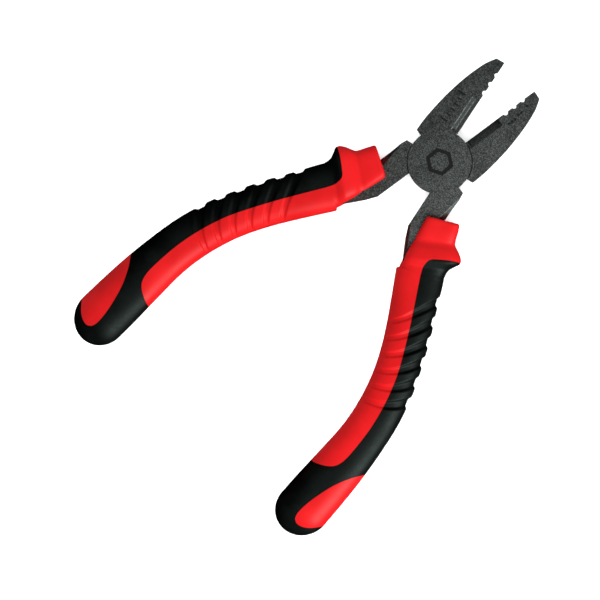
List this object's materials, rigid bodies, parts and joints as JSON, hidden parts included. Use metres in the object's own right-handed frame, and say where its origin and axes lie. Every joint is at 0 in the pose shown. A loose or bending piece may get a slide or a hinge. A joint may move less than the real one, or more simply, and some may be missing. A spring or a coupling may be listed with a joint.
{
  "type": "crimping pliers",
  "caption": "Combination pliers with crimp notches, a side cutter, a lap joint on one flush rivet and long two-colour moulded grips.",
  "frame": {"origin": "on the rivet's axis, at the rear face of the lap joint", "axes": "+Y along the centreline to the jaw tips; +Z along the rivet from the rear face to the front face; +X to the right, where the front half has its handle"},
  "size_m": [0.1042, 0.1538, 0.0144],
  "materials": {
    "blasted_steel": "forged steel, shot-blasted and dark phosphated, satin with a fine speckle",
    "rivet_steel": "steel rivet ground flush and blasted with the joint, satin",
    "red_plastic": "hard moulded red plastic, satin",
    "black_rubber": "soft moulded black overmould, fine matt texture"
  },
  "bodies": {
    "front_lever": {"front_half": "blasted_steel", "pivot_rivet": "rivet_steel", "right_grip_core": "red_plastic", "right_grip_overmould": "black_rubber"},
    "rear_lever": {"rear_half": "blasted_steel", "left_grip_core": "red_plastic", "left_grip_overmould": "black_rubber"}
  },
  "joints": [
    {"name": "pivot", "type": "hinge", "parent": "front_lever", "child": "rear_lever", "pos_m": [0, 0, 0.0045], "axis": [0, 0, 1], "range_deg": [-21, 19.7]}
  ]
}
